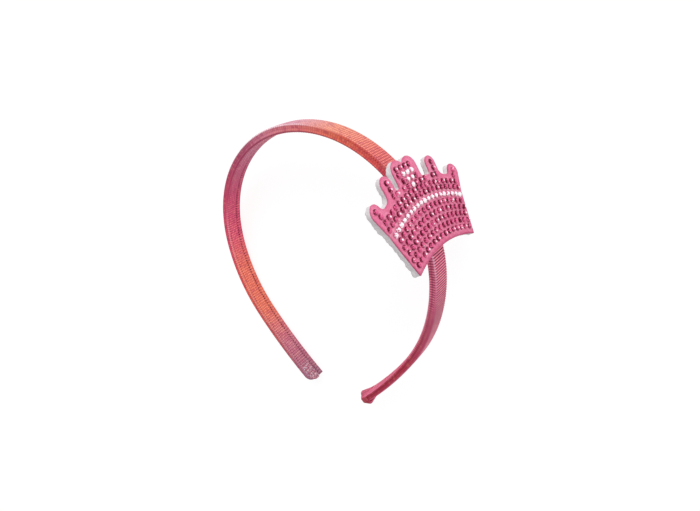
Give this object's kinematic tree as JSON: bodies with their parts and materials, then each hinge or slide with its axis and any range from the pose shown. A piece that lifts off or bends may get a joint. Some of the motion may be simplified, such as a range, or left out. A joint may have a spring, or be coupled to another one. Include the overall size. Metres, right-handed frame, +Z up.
{
  "type": "mini crown headband",
  "caption": "Arched hair band covered in fine ribbed ribbon in pink and orange, with a small flat crown of felt on foam, set with faceted stones, standing out on one side.",
  "frame": {"origin": "middle of the arch's inner face, where the band sits on top of the head", "axes": "+Z up as the headband lies on its side, +Y along the headband from the tips to the top of the arch, +X towards the arm with the crown"},
  "size_m": [0.1352, 0.149, 0.0673],
  "materials": {
    "cover_ribbon": "ribbed ribbon",
    "lining_ribbon": "ribbed ribbon",
    "folded_ribbon": "ribbed ribbon",
    "glue": "set glue",
    "foam": "soft foam sheet",
    "felt": "fine felt",
    "pink_stone": "faceted",
    "clear_stone": "faceted"
  },
  "bodies": {
    "root": {"band": "cover_ribbon", "lining_ribbon": "lining_ribbon", "ribbon_fold": "folded_ribbon", "glue_pad": "glue", "crown_foam": "foam", "crown_felt": "felt", "pink_stones": "pink_stone", "clear_stones": "clear_stone"}
  },
  "joints": []
}
